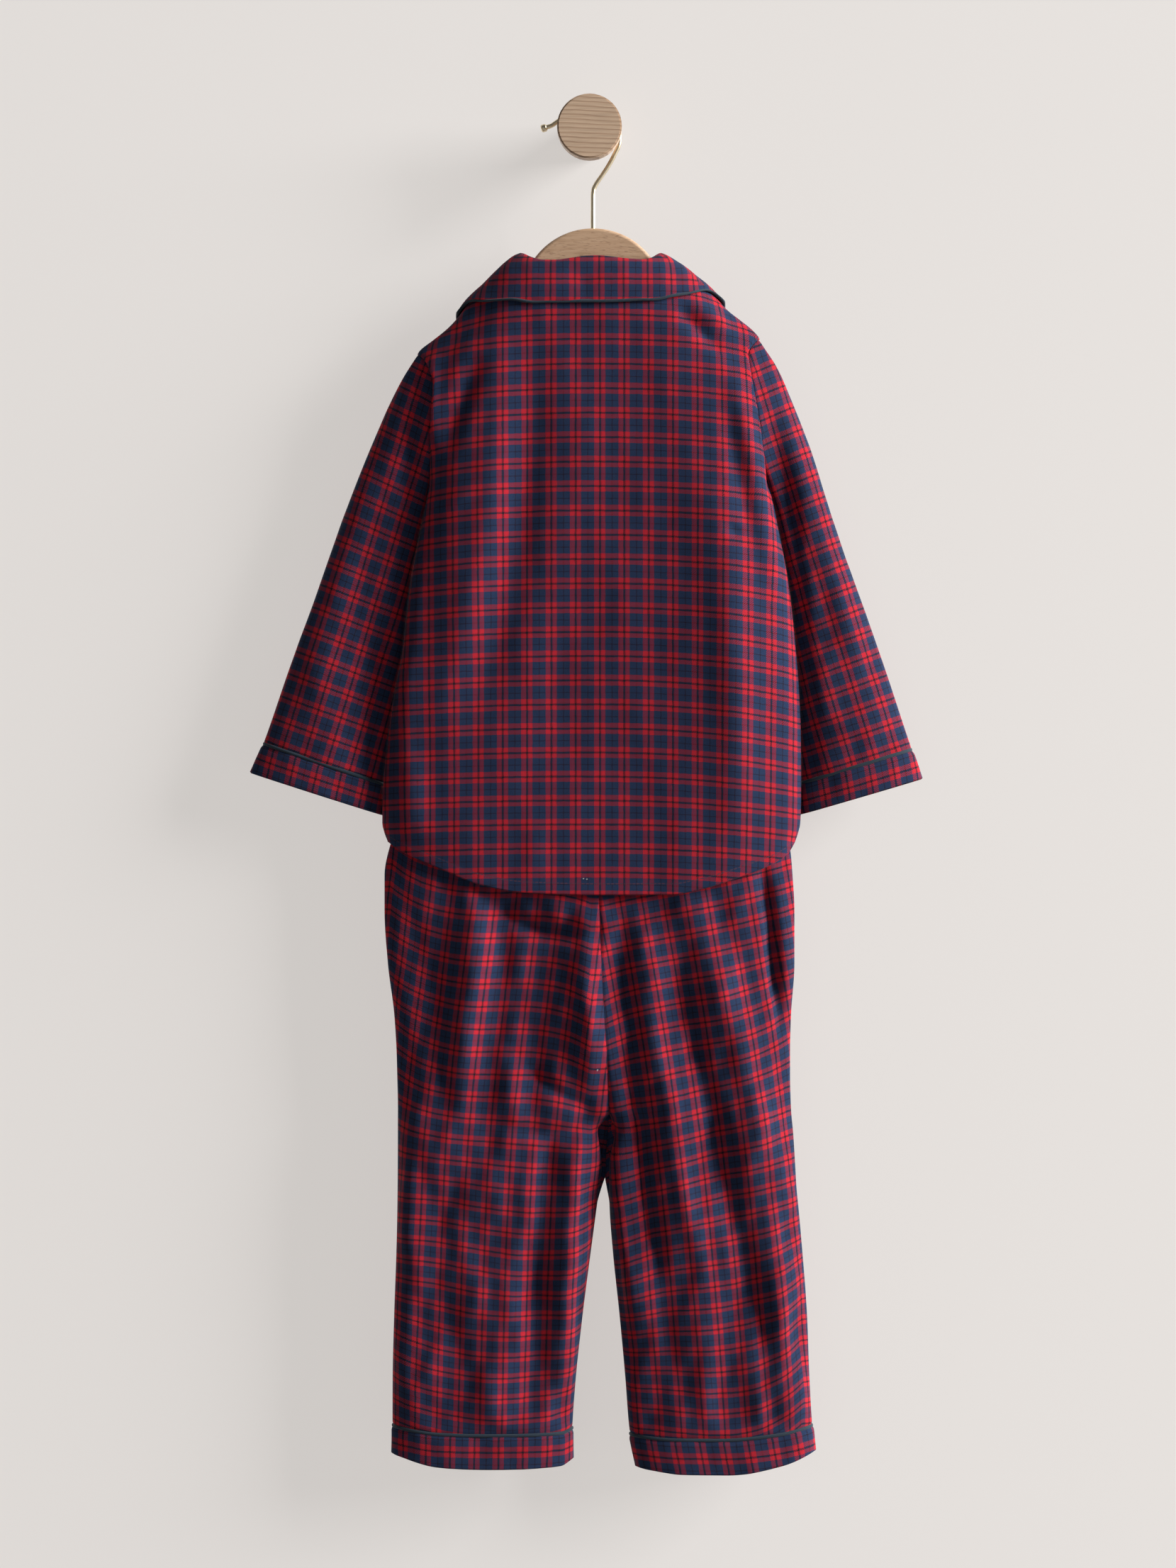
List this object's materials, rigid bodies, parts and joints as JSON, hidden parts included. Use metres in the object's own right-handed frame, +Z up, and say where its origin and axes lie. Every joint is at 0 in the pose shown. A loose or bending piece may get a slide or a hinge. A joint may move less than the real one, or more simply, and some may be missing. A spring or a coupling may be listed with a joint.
{
  "type": "pyjama set on a wooden hanger on a wall peg",
  "caption": "Child's checked flannel pyjamas, a collared top over trousers, hung back outwards on a wooden hanger from a round wall peg.",
  "frame": {"origin": "centre of the peg's back face, which lies on the wall", "axes": "+Z up, +Y into the wall, +X to the right of someone facing the wall; the wearer's back faces -Y"},
  "size_m": [0.5132, 0.066, 1.0457],
  "materials": {
    "flannel": "brushed cotton flannel in a woven red and navy check, matte with a soft nap",
    "piping": "dark navy cotton piping, matte",
    "button": "navy buttons with a low satin sheen",
    "hanger_wood": "satin beech with short dark flecks",
    "peg_wood": "pale oak with fine growth lines, lightly oiled",
    "wire": "pale satin brass wire"
  },
  "bodies": {
    "root": {"button_1": "button", "button_2": "button", "button_3": "button", "button_4": "button", "collar": "flannel", "collar_piping": "piping", "cuff_left": "flannel", "cuff_piping_left": "piping", "cuff_piping_right": "piping", "cuff_right": "flannel", "front_left": "flannel", "front_right": "flannel", "hanger_body": "hanger_wood", "hanger_hook": "wire", "hem_band_left": "flannel", "hem_band_right": "flannel", "hem_piping_left": "piping", "hem_piping_right": "piping", "hook_tip": "wire", "peg_disc": "peg_wood", "peg_stem": "peg_wood", "sleeve_left": "flannel", "sleeve_right": "flannel", "top_back": "flannel", "trouser_back_left": "flannel", "trouser_back_right": "flannel", "trouser_front_left": "flannel", "trouser_front_right": "flannel", "waistband": "flannel"}
  },
  "joints": []
}
